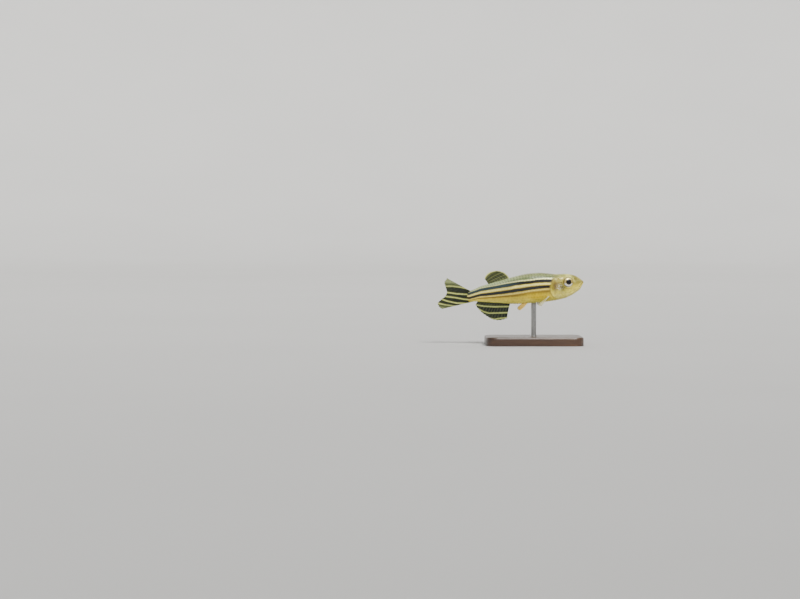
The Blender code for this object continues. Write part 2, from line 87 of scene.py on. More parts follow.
# The eye and its pupil, the two nostrils of a side with their sizes, and the pores of the sense canals.
EYE, EYE_OFFSET, EYE_RADIUS, EYE_DEPTH = (4.57, 2.17), 1.58, 1.475, 0.76
EYE_AIM = (0.22, 1.0, 0.12)
PUPIL_SHARE = 0.56
NOSTRILS = ((2.25, 3.13, 0.13), (2.62, 3.25, 0.16))
PORES = (
    (3.0, 3.85), (3.7, 4.07), (4.5, 4.17), (5.4, 4.12), (6.3, 3.85), (7.1, 3.55),
    (2.0, -0.3), (2.7, -0.85), (3.5, -1.3), (4.4, -1.62), (5.4, -1.66), (6.15, -1.35),
    (6.45, -0.45), (6.5, 0.45), (2.35, 0.95), (2.45, 0.2), (3.2, -0.25),
)
PORE_SIZE = 0.075
# Soft ovals as (middle, reach along and up): the muscle under the paired fins, and patches of the paint.
ARM, HIP = ((10.1, -2.05), (0.75, 0.55)), ((16.2, -3.35), (0.85, 0.5))
# The gill cover's reddish-brown patch is its own colour; the cheek's oval is painted shade behind and below
# the eye.
GILL_BLUSH, CHEEK_SHADE = ((8.3, 0.9), (1.15, 1.5)), ((6.3, 0.6), (1.25, 1.3))
# The silver patch on the gill cover is partly the skin's own silvery spots and partly painted highlights.
SILVER_AND_HIGHLIGHT_PATCH, FRECKLE_PATCH = ((7.2, 0.75), (0.75, 0.8)), ((6.0, 0.75), (0.45, 0.5))
BELLY_GOLD = ((13.4, -1.9), (3.6, 1.15))

# The stripes: each one's place on the paint's ramp, and its share of the body's depth at these distances.
STRIPE_DISTANCES = (8.5, 15.5, 22.7, 29.9, 32.8)
STRIPES = (
    (0.18, (0.16, 0.225, 0.159, 0.112, 0.07)),
    (0.4, (0.358, 0.384, 0.388, 0.404, 0.43)),
    (0.53, (0.45, 0.505, 0.531, 0.567, 0.61)),
    (0.64, (0.538, 0.59, 0.637, 0.717, 0.81)),
)


# Curves and surfaces

def through(xs, ys):
    """A smooth function through points in rising x."""
    xs, ys = np.asarray(xs, float), np.asarray(ys, float)
    before = np.maximum(np.arange(len(xs)) - 1, 0)
    after = np.minimum(np.arange(len(xs)) + 1, len(xs) - 1)
    slopes = (ys[after] - ys[before]) / (xs[after] - xs[before])

    def value(x):
        x = np.asarray(x, float)
        i = np.clip(np.searchsorted(xs, x) - 1, 0, len(xs) - 2)
        span = xs[i + 1] - xs[i]
        t = np.clip((x - xs[i]) / span, 0, 1)
        rest = 1 - t
        return ((1 + 2 * t) * rest**2 * ys[i] + t * rest**2 * span * slopes[i]
                + t * t * (3 - 2 * t) * ys[i + 1] - t * t * rest * span * slopes[i + 1])

    return value


def path_through(points):
    """A smooth path through points: a function of a share that is 0 at the first and 1 at the last."""
    points = np.asarray(points, float)
    shares = np.linspace(0, 1, len(points))
    parts = [through(shares, points[:, k]) for k in range(points.shape[1])]
    return lambda t: np.stack([part(t) for part in parts], -1)


def line_of(points, count=40):
    """Points close together along a smooth path through a few."""
    return path_through(points)(np.linspace(0, 1, count))


ROOTS = np.sqrt(BODY_SECTIONS[:, 0])
BACK = through(ROOTS, BODY_SECTIONS[:, 1])
BELLY = through(ROOTS, BODY_SECTIONS[:, 2])
HALF_WIDTH = through(ROOTS, BODY_SECTIONS[:, 3])
BEND = through(*zip(*SWIMMING_BEND))


def smooth(x, low, high):
    """0 below low, 1 above high, and an even S between."""
    t = np.clip((x - low) / (high - low), 0, 1)
    return t * t * (3 - 2 * t)


def hill(x, width):
    """1 where x is 0, falling off evenly on both sides."""
    return np.exp(-((x / width) ** 2))


def from_point(d, h, point):
    return np.hypot(d - point[0], h - point[1])


def oval(d, h, middle, reach):
    """1 at the middle of a soft oval, falling off round it."""
    return hill(np.hypot((d - middle[0]) / reach[0], (h - middle[1]) / reach[1]), 1.0)


def ridge(distance, height, width, at=0):
    """A rounded ridge along a line or beside it, or a groove where its height is below zero."""
    return height * hill(distance - at, width)


def unit(vectors):
    return vectors / np.maximum(np.linalg.norm(vectors, axis=-1, keepdims=True), 1e-9)


def power(x):
    return np.sign(x) * np.abs(x) ** SECTION_POWER


def world(d, offset, h):
    """Places of the fish in the model's frame, in millimetres."""
    d, offset, h = np.broadcast_arrays(d, offset, h)
    return np.stack([MIDDLE_DISTANCE - d, BEND(d) + offset, DATUM_HEIGHT + h], -1)


def section(d):
    """(back, belly, half width): past the body's end they close on the root of the tail fin."""
    root = np.sqrt(np.clip(d, 0, BODY_END))
    past = smooth(d, BODY_END - 0.6, ROOT_END)
    return BACK(root) - 0.25 * past, BELLY(root) + 0.2 * past, HALF_WIDTH(root) * (1 - 0.8 * past)


def body(d, a):
    """Places on the body: a turns from the back (0) by the left side (pi / 2) to the belly (pi)."""
    back, belly, half = section(d)
    middle, tall = (back + belly) / 2, (back - belly) / 2
    return world(d, (half - SKIN_DEPTH) * power(np.sin(a)), middle + (tall - SKIN_DEPTH) * power(np.cos(a)))


def body_height(d, a):
    back, belly, _ = section(d)
    return (back + belly) / 2 + (back - belly) / 2 * power(np.cos(a))


def body_normal(d, a):
    """Unit vectors out of the body, from its slopes along and across."""
    step = 0.02
    along = body(d + step, a) - body(np.maximum(d - step, 0.001), a)
    across = body(d, a + step) - body(d, a - step)
    normal = unit(np.cross(along, across))
    middle = (body(d, np.zeros_like(a)) + body(d, np.zeros_like(a) + np.pi)) / 2
    outward = body(d, a) - middle
    return normal * np.sign((normal * outward).sum(-1, keepdims=True) + 1e-9)


def away_from(d, h, points):
    """How far each place is from a line, seen from the side."""
    best = np.full(np.shape(d), 1e9)
    for (x0, y0), (x1, y1) in zip(points, points[1:]):
        dx, dy = x1 - x0, y1 - y0
        t = np.clip(((d - x0) * dx + (h - y0) * dy) / (dx * dx + dy * dy), 0, 1)
        best = np.minimum(best, np.hypot(d - x0 - t * dx, h - y0 - t * dy))
    return best


gill_line = line_of(GILL_OPENING, 60)
cheek_line, mouth_line, jaw_fold = line_of(CHEEK_LINE), line_of(MOUTH_LINE), line_of(JAW_FOLD)
sutures = [line_of(line, 24) for line in SUTURES]


def gill_at(h):
    """The distance at which the gill opening stands at a height."""
    return np.interp(-h, -gill_line[:, 1], gill_line[:, 0])


# The skin's relief, each part as millimetres out of the plain body

def swelling(d, h):
    """The low mounds of muscle that the paired fins rise from."""
    return 0.07 * oval(d, h, *ARM) + 0.06 * oval(d, h, *HIP)


def gill_cover_relief(d, h):
    """The cover's raised free edge and the drop behind it, the sutures, and the folds of the membrane."""
    behind = d - gill_at(h)
    window = smooth(h, -3.3, -2.4) * (1 - smooth(h, 2.9, 3.7))
    raised = 0.12 * np.exp(np.minimum(behind, 0) / 1.1)
    sunk = -0.11 * np.exp(-np.maximum(behind - 0.16, 0) / 0.3)
    fall = smooth(behind, -0.03, 0.19)
    out = window * (raised * (1 - fall) + sunk * fall)
    for line in sutures:
        to_line = away_from(d, h, line)
        out += (ridge(to_line, at=0.16, height=0.016, width=0.12)
                + ridge(to_line, height=-0.034, width=0.07))
    throat = smooth(-h, 2.0, 2.5) * smooth(d, 3.4, 4.4)
    for ahead in MEMBRANE_FOLDS:
        out += throat * ridge(behind, at=-ahead, height=-0.04, width=0.07)
    return out


def cheek_relief(d, h):
    """The groove and low ridge at the cheek plate's edge, and the pores."""
    to_cheek = away_from(d, h, cheek_line)
    out = ridge(to_cheek, height=-0.055, width=0.1) + ridge(to_cheek, at=0.3, height=0.035, width=0.22)
    for pore in PORES:
        out += ridge(from_point(d, h, pore), height=-0.055, width=PORE_SIZE)
    return out


def eye_rim_relief(d, h):
    """The socket round the eye, the rim of skin over its edge and the fold under it."""
    to_eye = from_point(d, h, EYE)
    socket = -0.16 * (1 - smooth(to_eye, 1.36, 1.52))
    under = smooth(EYE[1] - h, 0.2, 1.2)
    return (socket + ridge(to_eye, at=1.62, height=0.07, width=0.15)
            + under * ridge(to_eye, at=2.05, height=-0.04, width=0.12))


def mouth_relief(d, h):
    """The mouth's line between its lips, the full chin, and the fold where the lower jaw meets the cheek."""
    to_mouth, to_fold = away_from(d, h, mouth_line), away_from(d, h, jaw_fold)
    shown = (1 - smooth(d, 1.35, 1.75)) * (0.4 + 0.6 * smooth(d, 0.08, 0.6))
    lips = ridge(to_mouth, at=0.2, height=0.12, width=0.14) + ridge(to_mouth, height=-0.26, width=0.07)
    chin = 0.17 * hill(np.hypot(d - 1.2, h - 0.1), 1.25)
    fold = (1 - smooth(d, 3.8, 4.4)) * ridge(to_fold, height=-0.06, width=0.09)
    jaw = smooth(d, 1.2, 2.0) * ridge(to_fold, at=0.3, height=0.05, width=0.2)
    return shown * lips + chin + fold + jaw


def nostril_relief(d, h):
    out = np.zeros_like(d)
    for *nostril, size in NOSTRILS:
        to_pit = from_point(d, h, nostril)
        out += ridge(to_pit, at=1.5 * size, height=0.06, width=0.5 * size)
        out += ridge(to_pit, height=-0.2, width=0.8 * size)
    return out


def relief(d, h):
    return (swelling(d, h) + gill_cover_relief(d, h) + cheek_relief(d, h) + eye_rim_relief(d, h)
            + mouth_relief(d, h) + nostril_relief(d, h))


# The masks that the skin's paint reads, all from 0 to 1

def stripe_place(d, h):
    """Where on the paint's ramp a place lies, from 0 on the back to 1 on the belly."""
    back, belly, _ = section(d)
    share = np.clip((back - h) / (back - belly), 0, 1)
    rows = [np.interp(d, STRIPE_DISTANCES, row) for _, row in STRIPES]
    knots = [np.zeros_like(share), *rows, np.ones_like(share)]
    marks = [0.0, *(mark for mark, _ in STRIPES), 1.0]
    out = np.zeros_like(share)
    for low, high, low_mark, high_mark in zip(knots, knots[1:], marks, marks[1:]):
        out += (high_mark - low_mark) * np.clip((share - low) / (high - low), 0, 1)
    return out


def crease_shade(d, h):
    """Painted shade in the mouth's line, the nostrils, the pores and the gill opening."""
    out = (1 - smooth(d, 1.3, 1.7)) * hill(away_from(d, h, mouth_line), 0.09)
    for *nostril, size in NOSTRILS:
        out = np.maximum(out, hill(from_point(d, h, nostril), size * 0.75))
    for pore in PORES:
        out = np.maximum(out, 0.8 * hill(from_point(d, h, pore), PORE_SIZE * 0.8))
    window = smooth(h, -3.2, -2.4) * (1 - smooth(h, 2.9, 3.6))
    return np.maximum(out, 0.75 * window * hill(d - gill_at(h) - 0.13, 0.1))


def specks(d, h):
    """Where dark freckles show: behind and below the eye, and on the cheek."""
    ring = hill(from_point(d, h, EYE) - 2.2, 0.8) * smooth(d, 4.2, 6.0)
    ring = ring * smooth(-h, -3.2, -1.4) * smooth(h, -2.0, -0.6)
    return np.maximum(ring, 0.9 * oval(d, h, *FRECKLE_PATCH))


def paint_masks(d, h):
    """(lie, tone, mark): where a place lies on the body, its tints with painted shade and highlights, and
    painted shade in its slits and pits, its freckles and blue.
    """
    place = stripe_place(d, h)
    on_body = smooth(d - gill_at(np.clip(h, -2.6, 2.6)), -0.15, 0.35)
    # The gill cover's own reddish-brown patch, joined by painted shade on the cheek.
    blush_and_shade = np.maximum(oval(d, h, *GILL_BLUSH), 0.8 * oval(d, h, *CHEEK_SHADE))
    blue = (smooth(d, 16.5, 23.0) * hill(place - 0.27, 0.12)
            + 0.35 * smooth(d, 10, 14) * hill(place - 0.54, 0.08))
    lie = np.stack([d / ROOT_END, place, on_body], -1)
    tone = np.stack([blush_and_shade, oval(d, h, *SILVER_AND_HIGHLIGHT_PATCH), oval(d, h, *BELLY_GOLD)], -1)
    # The first channel is painted shade in the mouth's line, nostrils, pores and gill opening; freckles and
    # blue are the skin's own.
    mark = np.stack([crease_shade(d, h), specks(d, h), np.clip(blue, 0, 1)], -1)
    return lie, tone, mark


# Meshes

def joined(*parts):
    """Rows of three numbers out of arrays of any shape, one after another."""
    return np.concatenate([np.reshape(part, (-1, 3)) for part in parts])


def turns_round(sides):
    return np.linspace(0, 2 * np.pi, sides, endpoint=False)


def new_object(name, data):
    obj = bpy.data.objects.new(name, data)
    bpy.context.scene.collection.objects.link(obj)
    return obj


def mesh_object(name, points, faces, masks, material, covers=(), places=None):
    """A shown piece: points in millimetres, faces of equal length, and places, the bake's map by corner."""
    faces = np.asarray(faces, np.int32)
    mesh = bpy.data.meshes.new(name)
    mesh.vertices.add(len(points))
    mesh.vertices.foreach_set("co", np.asarray(points, np.float32).ravel() * MM)
    mesh.loops.add(faces.size)
    mesh.loops.foreach_set("vertex_index", faces.ravel())
    mesh.polygons.add(len(faces))
    mesh.polygons.foreach_set("loop_start", np.arange(0, faces.size, faces.shape[1], dtype=np.int32))
    mesh.update(calc_edges=True)
    for key, values in masks.items():
        layer = mesh.attributes.new(key, "FLOAT_VECTOR", "POINT")
        layer.data.foreach_set("vector", np.asarray(values, np.float32).ravel())
    if places is not None:
        layer = mesh.uv_layers.new(name="OFBake")
        layer.uv.foreach_set("vector", np.asarray(places, np.float32).ravel())
    mesh.shade_smooth()
    mesh.validate()
    mesh.materials.append(material)
    obj = new_object(name, mesh)
    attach(obj, "root")
    if covers:
        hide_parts(*covers)


def grid_faces(rows, columns, wrap=False, start=0):
    """Quads over a grid of rows by columns of points, round again to the first column if wrap."""
    r = np.arange(rows - 1)[:, None]
    c = np.arange(columns if wrap else columns - 1)[None, :]
    n = (c + 1) % columns
    quads = np.stack([r * columns + c, r * columns + n, (r + 1) * columns + n, (r + 1) * columns + c], -1)
    return quads.reshape(-1, 4) + start


def ring_triangles(rings, sides):
    """Triangles over rings of points, and over the two points after them that close the ends."""
    quads = grid_faces(rings, sides, wrap=True)
    here = np.arange(sides)
    after = (here + 1) % sides
    last, tip = (rings - 1) * sides, rings * sides
    first_cap = np.stack([after, here, np.full(sides, tip)], -1)
    last_cap = np.stack([last + here, last + after, np.full(sides, tip + 1)], -1)
    return np.concatenate([quads[:, [0, 1, 2]], quads[:, [0, 2, 3]], first_cap, last_cap])


def ring_places(triangles, shares, sides):
    """The bake's map over them: the rings' and then the closing points' shares along, by the turn round."""
    ring, side = np.divmod(triangles, sides)
    closing = ring == len(shares) - 2
    along = shares[ring + np.where(closing, side, 0)]
    seam = ((side == sides - 1) & ~closing).any(1, keepdims=True)
    turn = np.where((side == 0) & seam, sides, side)
    return np.stack([along, np.where(closing, (turn[:, :1] + turn[:, 1:2]) / 2, turn) / sides], -1)


def plate_faces(rows, columns):
    """(top, underside, rim): the faces of a closed plate of two grids, the second under the first."""
    count = rows * columns
    edge = np.concatenate([
        np.arange(columns), np.arange(1, rows) * columns + columns - 1,
        (rows - 1) * columns + np.arange(columns - 2, -1, -1), np.arange(rows - 2, 0, -1) * columns])
    after = np.roll(edge, -1)
    rim = np.stack([after, edge, edge + count, after + count], -1)
    return grid_faces(rows, columns), grid_faces(rows, columns, start=count)[:, ::-1], rim


# Materials

class Paint:
    """A short way to wire a procedural material."""

    def __init__(self, name):
        self.made = bpy.data.materials.new(name)
        self.made.use_nodes = True
        self.tree = self.made.node_tree
        self.shader = self.tree.nodes["Principled BSDF"]

    def put(self, socket, value):
        """Links a socket to this one, or sets it to a colour or number."""
        if isinstance(value, bpy.types.NodeSocket):
            self.tree.links.new(value, socket)
        elif socket.type == "RGBA":
            socket.default_value = (*value, 1.0)
        else:
            socket.default_value = value

    def node(self, kind, inputs, **settings):
        """A node with these settings, and with its inputs set or linked by name or number."""
        found = self.tree.nodes.new("ShaderNode" + kind)
        for key, value in settings.items():
            setattr(found, key, value)
        for key, value in inputs.items():
            self.put(found.inputs[key], value)
        return found

    def set(self, **values):
        for key, value in values.items():
            self.put(self.shader.inputs[key.replace("_", " ")], value)

    def mask(self, name):
        """The three numbers that the mesh holds under this name."""
        held = self.node("Attribute", {}, attribute_name=name)
        return self.node("SeparateXYZ", {0: held.outputs["Vector"]}).outputs

    def math(self, operation, a, b):
        return self.node("Math", {0: a, 1: b}, operation=operation).outputs[0]

    def both(self, a, b):
        return self.math("MULTIPLY", a, b)

    def mix(self, share, a, b, kind="MIX"):
        return self.node("Mix", {0: share, 6: a, 7: b}, data_type="RGBA", blend_type=kind).outputs[2]

    def ramp(self, value, *stops):
        """A colour, or a grey where the stops hold numbers, between stops along a value."""
        found = self.node("ValToRGB", {0: value})
        elements = found.color_ramp.elements
        while len(elements) < len(stops):
            elements.new(0.5)
        for element, (at, colour) in zip(elements, stops):
            element.position = at
            element.color = (*colour, 1.0) if isinstance(colour, tuple) else (colour, colour, colour, 1.0)
        return found.outputs[0]

    def own_places(self):
        return self.node("TexCoord", {}).outputs["Object"]

    def noise(self, scale, detail, rough=0.55, stretch=(1.0, 1.0, 1.0)):
        """Noise on the model's own coordinates, with this many cells to the metre."""
        mapped = self.node("Mapping", {0: self.own_places(), "Scale": stretch}).outputs[0]
        settings = {"Vector": mapped, "Scale": scale, "Detail": detail, "Roughness": rough}
        return self.node("TexNoise", settings).outputs[0]

    def dots(self, scale, size, share):
        """1 over small round dots in a share of the cells, 0 between them."""
        cells = self.node("TexVoronoi", {"Vector": self.own_places(), "Scale": scale})
        near = self.ramp(cells.outputs["Distance"], (size * 0.6, 1.0), (size, 0.0))
        chosen = self.node("SeparateColor", {0: cells.outputs["Color"]})
        return self.both(near, self.math("LESS_THAN", chosen.outputs[0], share))

    def bump(self, height, strength, distance):
        raised = self.node("Bump", {"Strength": strength, "Distance": distance, "Height": height})
        self.set(Normal=raised.outputs[0])


# Linear colours from the back's ridge (0) to the belly's (1), over the stripes and over the head.
BODY_RAMP = (
    (0.00, (0.22, 0.235, 0.08)), (0.07, (0.28, 0.32, 0.13)), (0.118, (0.115, 0.155, 0.055)),
    (0.15, (0.1, 0.14, 0.048)), (0.167, (0.68, 0.7, 0.28)), (0.184, (0.98, 0.97, 0.42)),
    (0.198, (0.62, 0.6, 0.22)),
    (0.213, (0.045, 0.046, 0.028)), (0.24, (0.007, 0.008, 0.007)), (0.315, (0.008, 0.009, 0.007)),
    (0.337, (0.16, 0.125, 0.03)), (0.356, (0.84, 0.7, 0.13)), (0.395, (1.00, 0.93, 0.3)),
    (0.432, (0.92, 0.78, 0.16)), (0.457, (0.3, 0.21, 0.04)), (0.478, (0.018, 0.014, 0.008)),
    (0.555, (0.008, 0.007, 0.006)), (0.58, (0.09, 0.062, 0.014)), (0.602, (0.58, 0.44, 0.08)),
    (0.634, (0.82, 0.68, 0.16)), (0.666, (0.44, 0.3, 0.045)), (0.694, (0.16, 0.105, 0.015)),
    (0.726, (0.28, 0.195, 0.024)), (0.775, (0.6, 0.46, 0.045)), (0.86, (0.72, 0.58, 0.075)),
    # The belly's rim (0.93 to 1.00) is partly its own pale gold and partly painted light from below on the
    # shaded underside.
    (0.93, (0.98, 0.88, 0.14)), (1.00, (1.00, 0.93, 0.22)),
)
HEAD_RAMP = (
    # The head's top (0.00) is lighter partly as painted light from above, and its throat (1.00) partly as
    # painted light from below.
    (0.00, (0.32, 0.33, 0.08)), (0.09, (0.4, 0.4, 0.09)), (0.2, (0.42, 0.38, 0.075)),
    (0.38, (0.43, 0.36, 0.045)), (0.55, (0.53, 0.45, 0.045)), (0.72, (0.72, 0.62, 0.07)),
    (1.00, (1.00, 0.92, 0.24)),
)


def stripe_colour(p, distance, place, shifted, blue, yellow):
    """The flank: its stripes, blue toward the tail, the golden belly and the pale back of the tail."""
    stripes = p.ramp(shifted, *BODY_RAMP)
    stripes = p.mix(p.both(blue, 0.42), stripes, (0.065, 0.115, 0.13))
    gold = p.both(yellow, p.ramp(place, (0.6, 0.0), (0.74, 1.0)))
    stripes = p.mix(p.both(gold, 0.9), stripes, (0.66, 0.46, 0.0))
    tail_back = p.both(p.ramp(distance, (0.5, 0.0), (0.75, 0.75)), p.ramp(place, (0.13, 1.0), (0.19, 0.0)))
    return p.mix(tail_back, stripes, (0.5, 0.6, 0.32))


def head_colour(p, distance, place, shifted, blush_and_shade, silver, speck):
    """The head: mottled gold with dark dots above, and a cheek with a reddish-brown patch, painted shade,
    freckles and silver spots partly painted as highlights.
    """
    mottle = p.noise(1500, 4)
    head = p.ramp(shifted, *HEAD_RAMP)
    snout = p.both(p.ramp(distance, (0.076, 0.85), (0.106, 0.0)), p.ramp(place, (0.48, 1.0), (0.66, 0.0)))
    head = p.mix(snout, head, (0.27, 0.245, 0.045))
    brow = p.ramp(distance, (0.096, 0.0), (0.12, 0.8), (0.14, 0.8), (0.165, 0.0))
    head = p.mix(p.both(brow, p.ramp(place, (0.14, 1.0), (0.24, 0.0))), head, (0.78, 0.77, 0.22))
    nape = p.both(p.ramp(distance, (0.185, 0.0), (0.245, 0.85)), p.ramp(place, (0.12, 1.0), (0.22, 0.0)))
    head = p.mix(nape, head, (0.19, 0.23, 0.095))
    head = p.mix(p.ramp(mottle, (0.42, 0.0), (0.66, 0.45)), head, (0.36, 0.25, 0.045))
    head = p.mix(p.ramp(p.noise(950, 3), (0.5, 0.0), (0.68, 0.4)), head, (0.8, 0.74, 0.26))
    dotted = p.both(p.dots(8500, 0.42, 0.55), p.ramp(place, (0.05, 0.75), (0.42, 0.16), (0.7, 0.0)))
    head = p.mix(dotted, head, (0.045, 0.04, 0.018))
    # Painted shade on the cheek in olive-grey, turning into the gill cover's own reddish brown behind it.
    blush_and_shade_tint = p.ramp(distance, (0.194, (0.09, 0.088, 0.03)), (0.229, (0.085, 0.036, 0.012)))
    head = p.mix(p.both(blush_and_shade, p.ramp(mottle, (0.34, 0.75), (0.54, 1.0))), head, blush_and_shade_tint)
    freckles = p.math("MAXIMUM", p.ramp(p.noise(2900, 3), (0.46, 0.0), (0.6, 0.9)), p.dots(6500, 0.45, 0.6))
    head = p.mix(p.both(speck, p.both(freckles, 0.9)), head, (0.035, 0.024, 0.01))
    # Silver spots on the gill cover, partly the skin's own and partly painted highlights.
    flecks_and_highlights = p.ramp(p.noise(2600, 4), (0.43, 0.0), (0.66, 0.9))
    return p.mix(p.both(silver, flecks_and_highlights), head, (0.92, 0.91, 0.8))


def skin_material():
    """The paint of skin and scales alike."""
    p = Paint("danio_skin")
    distance, place, on_body = p.mask("lie")
    blush_and_shade, silver, yellow = p.mask("tone")
    painted_crease_shade, speck, blue = p.mask("mark")
    patchy, fine = p.noise(700, 4), p.noise(3200, 3)
    drift = p.both(p.math("SUBTRACT", patchy, 0.5), 0.03)
    wobble = p.both(p.math("SUBTRACT", fine, 0.5), 0.022)
    shifted = p.math("ADD", place, p.math("ADD", drift, wobble))
    head = head_colour(p, distance, place, shifted, blush_and_shade, silver, speck)
    colour = p.mix(on_body, head, stripe_colour(p, distance, place, shifted, blue, yellow))
    scale_edge = p.ramp(p.mask("rim")[0], (0.55, 0.0), (0.85, 0.7), (1.0, 1.0))
    on_back = p.ramp(place, (0.13, 1.0), (0.2, 0.0))
    colour = p.mix(p.both(scale_edge, p.both(on_back, 0.72)), colour, (0.085, 0.1, 0.045))
    colour = p.mix(p.both(scale_edge, 0.14), colour, (0.05, 0.04, 0.02))
    # Painted shade: darker in the mouth's line, the nostrils, the pores and the gill opening.
    colour = p.mix(p.both(painted_crease_shade, 0.85), colour, (0.09, 0.045, 0.03))
    colour = p.mix(1.0, colour, p.ramp(patchy, (0.25, 0.82), (0.75, 1.1)), "MULTIPLY")
    gleam = p.ramp(
        place, (0.14, 0.12), (0.18, 0.22), (0.25, 0.04), (0.32, 0.1), (0.4, 0.22), (0.52, 0.04),
        (0.63, 0.22), (0.72, 0.12), (1.0, 0.15))
    wet = p.ramp(
        place, (0.2, 0.22), (0.24, 0.06), (0.31, 0.06), (0.36, 0.22), (0.46, 0.22), (0.48, 0.06),
        (0.56, 0.06), (0.6, 0.22))
    p.set(Base_Color=colour, Metallic=p.both(gleam, 0.8), Roughness=p.ramp(fine, (0.3, 0.32), (0.7, 0.5)))
    p.set(Coat_Weight=wet, Coat_Roughness=0.16, Specular_IOR_Level=0.2)
    p.bump(fine, 0.18, 0.00006)
    return p.made


def fin_material(name, clear, dark, light):
    """A membrane in these colours; masks place its rays, its dark and light bands, and how solid it is."""
    p = Paint(name)
    ray, dark_share, light_share = p.mask("band")
    fine = p.noise(2600, 3)
    colour = p.mix(light_share, p.mix(dark_share, clear, dark), light)
    colour = p.mix(p.both(ray, 0.22), colour, tuple(0.8 * c + 0.02 for c in clear))
    colour = p.mix(1.0, colour, p.ramp(fine, (0.3, 0.8), (0.7, 1.15)), "MULTIPLY")
    p.set(Base_Color=colour, Roughness=p.ramp(fine, (0.3, 0.36), (0.7, 0.5)), Alpha=p.mask("rim")[0])
    p.set(Coat_Weight=0.08, Coat_Roughness=0.2, Specular_IOR_Level=0.2)
    p.bump(fine, 0.12, 0.00005)
    return p.made


def eye_material():
    """A black pupil in a gold ring, and an iris silver below, mottled in front and gold above."""
    p = Paint("eye_iris")
    reach, upward, _ = p.mask("lie")
    fine = p.noise(3400, 3)
    mottled = p.mix(p.ramp(fine, (0.42, 0.0), (0.6, 0.8)), (0.6, 0.46, 0.14), (0.1, 0.075, 0.03))
    silver = p.ramp(fine, (0.35, (0.62, 0.63, 0.6)), (0.55, (0.92, 0.92, 0.87)))
    iris = p.mix(p.ramp(upward, (0.3, 1.0), (0.42, 0.0)), mottled, silver)
    iris = p.mix(p.ramp(upward, (0.66, 0.0), (0.8, 1.0)), iris, (0.86, 0.76, 0.3))
    iris = p.mix(p.both(p.ramp(reach, (0.82, 0.0), (0.92, 1.0)), 0.85), iris, (0.07, 0.055, 0.03))
    ring = p.ramp(reach, (PUPIL_SHARE, 1.0), (PUPIL_SHARE + 0.06, 0.0))
    iris = p.mix(p.both(ring, 0.8), iris, (0.75, 0.58, 0.16))
    outside = p.ramp(reach, (PUPIL_SHARE - 0.015, 0.0), (PUPIL_SHARE + 0.01, 1.0))
    colour = p.mix(outside, (0.004, 0.004, 0.005), iris)
    p.set(Base_Color=colour, Metallic=p.both(outside, 0.45), Roughness=0.3, Specular_IOR_Level=0.15)
    p.set(Coat_Weight=0.35, Coat_Roughness=0.03)
    return p.made


def wood_material():
    p = Paint("dark_wood")
    grain = p.noise(260, 5, 0.6, stretch=(0.16, 1.6, 1.6))
    fibre = p.noise(2400, 3, 0.6, stretch=(0.06, 1.0, 1.0))
    colour = p.ramp(
        grain, (0.3, (0.02, 0.01, 0.006)), (0.55, (0.06, 0.028, 0.014)), (0.75, (0.105, 0.052, 0.026)))
    colour = p.mix(p.both(fibre, 0.35), colour, (0.012, 0.006, 0.004))
    p.set(Base_Color=colour, Roughness=p.ramp(fibre, (0.3, 0.32), (0.7, 0.5)))
    p.set(Coat_Weight=0.25, Coat_Roughness=0.25)
    p.bump(fibre, 0.25, 0.00005)
    return p.made


def steel_material():
    p = Paint("brushed_steel")
    brushed = p.noise(5200, 2, 0.6, stretch=(1.0, 1.0, 0.05))
    tint = p.ramp(brushed, (0.3, (0.3, 0.3, 0.3)), (0.7, (0.42, 0.42, 0.41)))
    p.set(Base_Color=tint, Metallic=1.0, Roughness=p.ramp(brushed, (0.3, 0.22), (0.7, 0.38)))
    p.bump(brushed, 0.12, 0.00003)
    return p.made


skin_paint = skin_material()


# The body

SKIN_SIDES = 256
SNOUT_RINGS, HEAD_END, HEAD_STEP, REAR_STEP = 26, 10.8, 0.05, 0.16
MAP_ENDS = (0.004, 0.998)


def along_map(d):
    """How far along the bake's map a distance lies."""
    return 0.01 + 0.98 * d / ROOT_END


def make_skin():
    snout = (np.arange(1, SNOUT_RINGS + 1) / SNOUT_RINGS) ** 2
    head = np.arange(1.0, HEAD_END, HEAD_STEP)[1:]
    rear = np.arange(head[-1] + REAR_STEP, ROOT_END, REAR_STEP)
    distances = np.concatenate([snout, head, rear, [ROOT_END]])
    d, a = np.meshgrid(distances, turns_round(SKIN_SIDES), indexing="ij")
    h = body_height(d, a)
    out = relief(d, h) * smooth(d, 0.0, 0.16)
    points = body(d, a) + body_normal(d, a) * out[..., None]
    tip, end = points[0].mean(0) + (0.02, 0, 0), points[-1].mean(0)
    masks = {key: joined(mask, mask[0, 0], mask[-1, -1])
             for key, mask in zip(("lie", "tone", "mark"), paint_masks(d, h))}
    masks["rim"] = np.zeros_like(masks["lie"])
    triangles = ring_triangles(len(distances), SKIN_SIDES)
    places = ring_places(triangles, np.concatenate([along_map(distances), MAP_ENDS]), SKIN_SIDES)
    # The rings turn by the left side, so both lists are reversed to face outward.
    mesh_object(
        "skin", joined(points, tip, end), triangles[:, ::-1], masks, skin_paint,
        ("head", "lower_jaw", "gill_cover_left", "gill_cover_right", "trunk", "tail"), places[:, ::-1])


